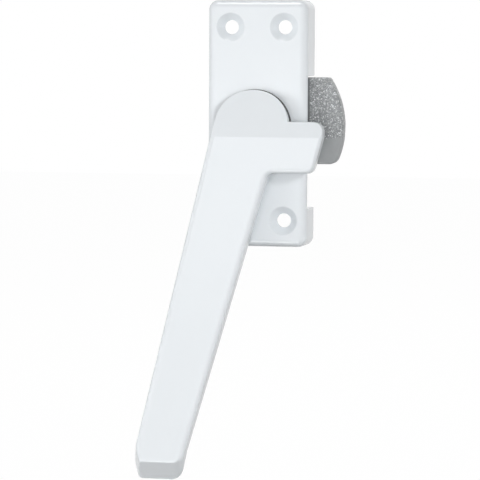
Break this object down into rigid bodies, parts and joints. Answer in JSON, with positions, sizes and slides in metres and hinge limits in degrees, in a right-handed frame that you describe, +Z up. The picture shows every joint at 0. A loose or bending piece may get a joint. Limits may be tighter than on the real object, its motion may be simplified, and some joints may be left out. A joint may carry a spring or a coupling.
{
  "type": "window latch",
  "caption": "Surface-mounted window latch: hollow white base plate with countersunk screw holes, slanted lever handle on a square spindle, and a grey cam that swings out of a side slot.",
  "frame": {"origin": "middle of the screw pattern on the mounting plane, at the back of the base plate", "axes": "+X right seen from the room, towards the cam; +Y into the sash; +Z up, with the grip hanging down in the closed pose"},
  "size_m": [0.067, 0.0238, 0.1567],
  "materials": {
    "white_casting": "satin",
    "cam_casting": "matte",
    "black_nylon": "matte",
    "natural_nylon": "satin",
    "plated_steel": "satin",
    "spring_steel": "satin"
  },
  "bodies": {
    "base": {"base_plate": "white_casting", "hub_bush": "black_nylon", "thrust_washer": "natural_nylon"},
    "lever": {"lever_handle": "white_casting", "square_spindle": "plated_steel", "spindle_pin": "spring_steel", "cam": "cam_casting", "wave_washer": "spring_steel", "retaining_washer": "plated_steel", "lock_washer": "spring_steel", "cam_screw": "plated_steel"}
  },
  "joints": [
    {"name": "handle_turn", "type": "hinge", "parent": "base", "child": "lever", "pos_m": [-0.0005, -0.014, -0.0007], "axis": [0, 1, 0], "range_deg": [0, 90]}
  ]
}
